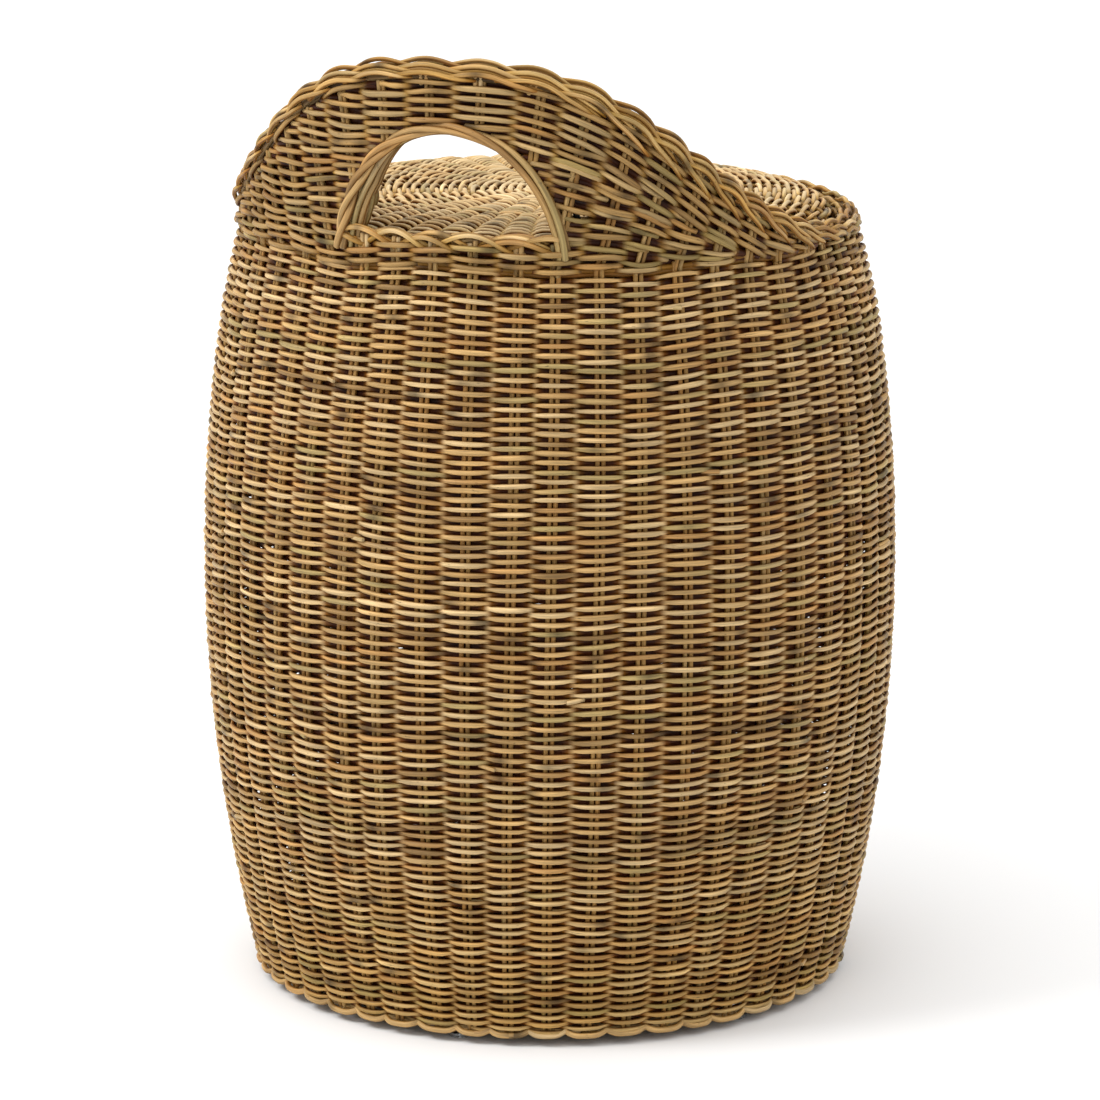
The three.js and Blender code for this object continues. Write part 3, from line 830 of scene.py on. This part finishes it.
def wrap_rods(rods):
    """The bundles that bind the edge of the hand-hold."""
    rng = rods.rng
    count = 90
    left, right = math.pi - 0.09, 0.09  # where the bundles start and end, round the half ellipse
    turn = np.linspace(left, right, count)
    slim = 1 - 0.24 * np.sin(turn) ** 2  # the bundle is thinner over the top
    along = np.linspace(0, 1, count)

    def bind(path, size):
        outward = polar(np.arctan2(path[:, 0], -path[:, 1]), 1.0, 0.0)
        rods.rod(path, outward, size, step=14)

    for strand in range(3):  # the front bundle twists like a rope, most on the left
        angle = 2 * math.pi * (2.1 * (1 - (1 - along) ** 2) + strand / 3) + 0.5
        path = hold_path(turn, (0.0052 + 0.0030 * np.cos(angle)) * slim, 0.2212 + 0.0028 * np.sin(angle))
        bind(path, 0.0026 * rng.uniform(0.94, 1.06) * slim ** 0.6)
    for radius, offset in WRAP_BUNDLE:
        wander = drift(rng, count, 18, 0, 0.0004)
        path = hold_path(turn, offset * slim + wander, radius + wander[::-1])
        bind(path, WRAP_ROD * rng.uniform(0.9, 1.04))
    post = np.linspace(left, math.pi - 1.15, 40)
    ease = clamp((post - post[-1]) / 0.45)
    for radius, offset in POST_BUNDLE:  # they merge into the bundle at the top of the post
        path = hold_path(post, 0.0026 + (offset - 0.0026) * ease, radius - 0.002 * (1 - ease))
        bind(path, WRAP_ROD * 0.98)
    s = np.linspace(0, 1, 24)  # a loose end looped round the left post
    loop = 2.4 * math.pi * s
    place = math.pi - 0.42 - 0.16 * np.cos(loop)
    path = hold_path(place, -0.0062 - 0.0032 * np.sin(loop), 0.2130 - 0.007 * s)
    bind(path, WRAP_ROD * 0.85)


def foot_strands(rods):
    """The scalloped edge under the wall, and the stake ends turned in beneath it."""
    rng = rods.rng
    theta = np.linspace(0, 2 * math.pi * (1 + 1.0 / STAKES), (STAKES + 1) * 10) + FIRST_STAKE
    for strand in range(2):
        w = wave(((theta - FIRST_STAKE + warp(theta, 0.01)) / PITCH + strand) * math.pi)
        z = FOOT_Z - 0.0021 * clamp(w) + 0.0005 * (1 - np.abs(w))
        z = z + drift(rng, len(theta), 10, 0, 0.0003)
        radius = wall_radius(0.0094) - 0.0052 + 0.0036 * w
        for split in np.array_split(np.arange(len(theta)), 4):
            run = slice(split[0], min(split[-1] + 6, len(theta)))
            rods.rod(polar(theta[run], radius[run], z[run]), polar(theta[run], 1.0, 0.0), ROD * 1.12, step=10)
    s = np.linspace(0, 1, 9)
    for index in range(STAKES):
        base = FIRST_STAKE + PITCH * index
        base = base - float(warp(base, 0.01))
        for side in (-1, 1):
            theta = base + side * 0.0017 / 0.21 + PITCH * 0.75 * s
            path = polar(theta, 0.2105 - 0.0060 * s, 0.0100 - 0.0010 * np.sin(math.pi * s))
            rods.rod(path, np.array((0, 0, -1.0)), STAKE_ROD)


# ------------------------ round woven discs and poles
def profile(points):
    """A profile of (radius, height) points: its length, and radius, height and tilt by distance along."""
    radii, heights = np.array(points).T
    along = np.concatenate([[0], np.cumsum(np.hypot(np.diff(radii), np.diff(heights)))])
    tilt = np.arctan2(np.gradient(heights, along), np.gradient(radii, along))

    def by_distance(values):
        return lambda s: np.interp(s, along, values)

    return along[-1], by_distance(radii), by_distance(heights), by_distance(tilt)


def disc_bend(theta, s):
    """How far the spokes of a disc wander from even spacing, in radians."""
    return 0.012 * np.sin(5 * theta + 20 * s) + 0.008 * np.sin(11 * theta - 31 * s)


def disc_zone(rods, shape, swing, size, spokes, inner, outer, rings, pitch):
    """One helix of rods over some number of spokes, from one distance out to another."""
    rng = rods.rng
    reach, radius_at, height_at, tilt_at = shape
    gap = 2 * math.pi / spokes
    count = int((outer - inner) / pitch * spokes * rings)
    theta = np.arange(count) * gap / rings + FIRST_STAKE
    s = inner + pitch * np.arange(count) / (spokes * rings)
    w = wave((theta - FIRST_STAKE) / gap * math.pi)
    tilt = tilt_at(s)
    normal = polar(theta, -np.sin(tilt), np.cos(tilt))
    close = 1 - 0.25 * clamp((s - reach + 0.012) / 0.012)  # woven flatter along the edge
    heave = swing * close * drift(rng, count, rings, 1, 0.08)
    s = s + drift(rng, count, rings, 0, 0.0003)
    path = polar(theta + disc_bend(theta, s), radius_at(s), height_at(s)) + normal * (w * heave)[:, None]
    start = 0
    while start < count - 3:
        length = int(rng.uniform(0.8, 1.7) / (max(s[start], 0.02) * gap / rings))
        end = count if count - start - length < 4 * rings else start + length
        span = slice(start, end)
        thick = size * np.clip(rng.normal(1, 0.06), 0.86, 1.12)
        thick = thick * drift(rng, end - start, rings * 1.5, 1, 0.05)
        below = clamp(-w[span])
        # painted shade where a rod dives under a spoke
        rods.rod(path[span], normal[span], thick * (1 + 0.3 * below), thick, rings,
                 dim=recess_shade(w[span]), dim_in=recess_shade(-w[span]))
        start = end


def disc_weave(rods, shape, swing, size, zones, rings, pitch=0.00335):
    """A round plain weave on radial spokes. More spokes join in as it grows."""
    reach, radius_at, height_at, tilt_at = shape
    for spokes, inner, outer in zones:
        outer = min(outer, reach)
        disc_zone(rods, shape, swing, size, spokes, inner, outer, rings, pitch)
        s = np.linspace(max(inner - 0.010, 0.004), min(outer + 0.008, reach), 18)
        radius, tilt = radius_at(s), tilt_at(s)
        for index in range(spokes):
            base = FIRST_STAKE + 2 * math.pi / spokes * index
            for side in (-1, 1):
                theta = base + disc_bend(base, s) + side * 0.0016 / np.maximum(radius, 0.012)
                # the spokes are painted darker, as the shade under the weave
                rods.rod(polar(theta, radius, height_at(s)), polar(base, -np.sin(tilt), np.cos(tilt)),
                         0.0015, 0.0013, 6, dim=0.7)


def pole_ring(rods, radius, z, size):
    """A pole bent into a ring, with the joints of the cane."""
    theta = np.linspace(0.35, 0.35 + 2 * math.pi * 1.004, 120)
    swell = size * (1 + 0.03 * np.sin(theta * 5))
    for joint in (1.1, 2.9, 4.4, 6.0):
        swell = swell + size * 0.07 * np.exp(-((theta - joint) * radius / 0.004) ** 2)
    rods.rod(polar(theta, radius, z), polar(theta, 1.0, 0.0), swell, step=30)


def pole_bar(rods, start, end, size, bend=None):
    """A straight pole, or one whose height follows bend by distance from the axis."""
    s = np.linspace(0, 1, 60)
    path = np.array(start) * (1 - s)[:, None] + np.array(end) * s[:, None]
    if bend is not None:
        path[:, 2] = bend(np.hypot(path[:, 0], path[:, 1]))
    swell = size * (1 + 0.02 * np.sin(s * 9))
    for joint in (0.24, 0.71):
        swell = swell + size * 0.08 * np.exp(-((s - joint) / 0.012) ** 2)
    rods.rod(path, np.array((0, 0, 1.0)), swell, step=30)


def pole_hoop(rods, name):
    """A pole ring where the CAD hoop is."""
    low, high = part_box(name)
    size = (high.z - low.z) / 2
    pole_ring(rods, high.x - size, (high.z + low.z) / 2, size)


# ------------------------ bottom, ledge and lid
def woven_bottom(rods):
    """Level in the middle, with its edge lifted onto the base hoop."""
    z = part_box("base_weave")[0].z + 0.004
    shape = profile([(0, z), (0.09, z), (0.178, z), (0.188, z + 0.0026), (0.206, z + 0.0026)])
    disc_weave(rods, shape, BASE_SWING, BASE_ROD,
               ((13, 0.012, 0.062), (25, 0.062, 0.125), (49, 0.125, 0.2055)), 5, 0.0036)


def base_poles(rods):
    pole_hoop(rods, "base_hoop")
    for number in (1, 2, 3):
        low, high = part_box(f"base_rail_{number}")
        y, z = (low.y + high.y) / 2, (low.z + high.z) / 2
        pole_bar(rods, (low.x, y, z), (high.x, y, z), (high.z - low.z) / 2)


def bound_ledge(rods):
    """Two pole rings, bound together with three turns of cane between each two stakes."""
    low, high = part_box("lid_ledge")
    middle = (low.z + high.z) / 2
    for radius in LEDGE_RADII:
        pole_ring(rods, radius, middle, LEDGE_ROD)
    turn = np.linspace(0, 2 * math.pi, 26)
    cos, sin = np.cos(turn), np.sin(turn)
    across = np.sign(cos) * np.abs(cos) ** 0.45 * 0.0123
    rise = np.sign(sin) * np.abs(sin) ** 0.8 * 0.0064
    for index in range(STAKES):
        for side in (-1, 0, 1):
            at = FIRST_STAKE + PITCH * (index + 0.5) + side * 0.0031 / 0.2
            path = polar(at + turn * 0.0006, LEDGE_MIDDLE + across, middle + rise)
            rods.rod(path, polar(at, cos, sin), 0.0014, 0.0008, 12)


def lid_profile():
    """The lid from its middle outward: level, then a slow fall, then the rolled edge."""
    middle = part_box("lid_weave")[1].z - 0.0051
    fall = [(r, middle - LID_FALL * ((r - LID_FLAT) / LID_FALL_SPAN) ** 2)
            for r in np.linspace(LID_FLAT, ROLL_AT, 14)]
    lean = math.atan(2 * LID_FALL * (ROLL_AT - LID_FLAT) / LID_FALL_SPAN ** 2)  # where the roll starts
    centre_r = ROLL_AT - ROLL_SIZE * math.sin(lean)
    centre_z = fall[-1][1] - ROLL_SIZE * math.cos(lean)
    rolled = [(centre_r + ROLL_SIZE * math.sin(t), centre_z + ROLL_SIZE * math.cos(t))
              for t in np.linspace(lean, ROLL_END, 12)[1:]]
    return profile([(0, middle), (0.08, middle)] + fall + rolled)


def lid_poles(rods):
    """The ring under the lid's edge, and the rails that follow the fall of its top."""
    pole_hoop(rods, "lid_hoop")
    for number in (1, 2, 3):
        name = f"lid_rail_{number}"
        low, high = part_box(name)
        points = node_points(name)
        reach = np.abs(points[:, 0])
        y, size = (low.y + high.y) / 2, (high.y - low.y) / 2
        z_mid, z_end = high.z - size, points[reach > reach.max() - 0.004, 2].mean()
        far = math.hypot(high.x, y)
        pole_bar(rods, (low.x, y, z_mid), (high.x, y, z_mid), size,
                 lambda r: z_mid - (z_mid - z_end) * clamp((r - LID_FLAT) / (far - LID_FLAT)) ** 2)


# ------------------------ build
def outer_skin(rods):
    handle_skin(rods, OUTER_MIDDLE, 0.0034, ROD)
    rods.tones = STAKE_TONES
    handle_stakes(rods, OUTER_MIDDLE, STAKE_ROD)
    rods.tones = WALL_TONES
    foot_of_handle(rods, OUTER_MIDDLE)


def inner_skin(rods):
    handle_skin(rods, LINING_MIDDLE, 0.0025, ROD * 0.95)
    handle_stakes(rods, LINING_MIDDLE, STAKE_ROD * 0.8)
    foot_of_handle(rods, LINING_MIDDLE)


def lid_middle(rods):
    disc_weave(rods, lid_profile(), LID_SWING, LID_ROD, ((13, 0.012, 0.058), (25, 0.058, 0.112)), 8)


def lid_edge(rods):
    disc_weave(rods, lid_profile(), LID_SWING, LID_ROD, ((49, 0.112, 1.0),), 6)


def add(seed, fill, name, *replaces, body="basket", slot="wall_rattan", **looks):
    """Fills one mesh with rods and adds it as a piece."""
    rods = Rods(seed, **looks)
    fill(rods)
    rods.make(name, body, slot, replaces)


def dress(name, slot):
    """Gives a CAD node that stays visible its own material."""
    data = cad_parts[name].data
    data.materials.clear()
    data.materials.append(MATERIALS[slot])


for number, band in enumerate(wall_rods()):
    if number == 3:
        stub_ends(band)
    band.make(f"wall_rods_{number + 1}", "basket", "wall_rattan", ("wall_weave",) if number == 0 else ())

# the stakes are painted darker and warmer, as the shade they show in
add(21, stake_rods, "wall_stakes", tones=STAKE_TONES, shares=STAKE_SHARES, shade=0.86)
# the outer skin is painted darker than the wall, as painted shade to offset the stronger light on the
# handle's top
add(31, outer_skin, "handle_outer_skin", "handle_weave", tones=SKIN_TONES, shade=0.70)
add(32, inner_skin, "handle_inner_skin", "handle_lining")
add(41, rim_strands, "rim_strands", "rim_border", side_stain=0.80)
add(42, sill_strands, "sill_strands", "hand_hold_sill")
add(43, wrap_rods, "hold_wrapping", "hand_hold_wrap",
    shares=WRAP_SHARES, shade=0.86, side_stain=0.88)
add(44, foot_strands, "foot_strands", "foot_border")
add(51, woven_bottom, "base_rods", "base_weave")
# the base frame is painted darker, as the deep shade under the basket
add(52, base_poles, "base_frame", "base_hoop", "base_rail_1", "base_rail_2", "base_rail_3",
    slot="rattan_pole", shade=0.6)
add(61, bound_ledge, "ledge_rods", "lid_ledge", slot="rattan_pole", shade=0.9)
add(71, lid_middle, "lid_rods_middle", "lid_weave", body="lid", slot="lid_rattan",
    tones=LID_TONES, shares=LID_SHARES)
add(72, lid_edge, "lid_rods_outer", "lid_border", body="lid", slot="lid_rattan",
    tones=LID_TONES, shares=LID_SHARES, side_stain=0.68)
add(73, lid_poles, "lid_frame", "lid_hoop", "lid_rail_1", "lid_rail_2", "lid_rail_3",
    body="lid", slot="rattan_pole", shade=0.95)

for number in range(1, 7):
    dress(f"glide_{number}", "clear_plastic")
    dress(f"glide_nail_{number}", "nail_steel")
dress("handle_frame_rod", "rattan_pole")
dress("hand_hold_rod", "rattan_pole")


# ------------------------ floor, light, camera
VIEW = math.radians(18.67)  # the photo's view, round from the handle
TOWARD = Vector((math.sin(VIEW), -math.cos(VIEW), 0))
RIGHT = Vector((math.cos(VIEW), math.sin(VIEW), 0))
UP = Vector((0, 0, 1))
CAMERA_AWAY, CAMERA_UP, AIM_UP, LENS = 3.5, 1.117, 0.305, 162.7


def studio():
    """A white surround that grows brighter towards the top."""
    world = bpy.data.worlds.new("studio")
    world.use_nodes = True
    tree = world.node_tree
    coord = tree.nodes.new("ShaderNodeTexCoord")
    split = tree.nodes.new("ShaderNodeSeparateXYZ")
    strength = node(tree, "ShaderNodeMapRange", To_Min=0.62, To_Max=1.80)
    tree.links.new(coord.outputs["Generated"], split.inputs[0])
    tree.links.new(split.outputs["Z"], strength.inputs["Value"])
    tree.links.new(strength.outputs[0], tree.nodes["Background"].inputs["Strength"])
    tree.nodes["Background"].inputs["Color"].default_value = (1, 1, 1, 1)
    return world


def aimed(name, data, place, target):
    """Puts a lamp or a camera at place, looking at target."""
    made = bpy.data.objects.new(name, data)
    made.location = place
    made.rotation_euler = (target - made.location).to_track_quat("-Z", "Y").to_euler()
    bpy.context.scene.collection.objects.link(made)
    return made


bpy.ops.mesh.primitive_plane_add(size=60, location=(0, 0, 0))
floor = bpy.context.object
floor.name = "floor"
floor.data.materials.append(plain("paper", (0.82, 0.82, 0.82), Roughness=0.9, Specular_IOR_Level=0.1))
bpy.context.scene.world = studio()

key_data = bpy.data.lights.new("key", "AREA")
key_data.shape, key_data.size, key_data.energy = "DISK", 1.2, 50
aimed("key", key_data, RIGHT * -2.1 + TOWARD * 0.9 + UP * 2.3, UP * 0.35)

camera_data = bpy.data.cameras.new("camera")
camera_data.lens, camera_data.sensor_width = LENS, 36
bpy.context.scene.camera = aimed("camera", camera_data, TOWARD * CAMERA_AWAY + UP * CAMERA_UP, UP * AIM_UP)
bpy.context.scene.view_settings.view_transform = "Standard"

bpy.context.view_layer.update()
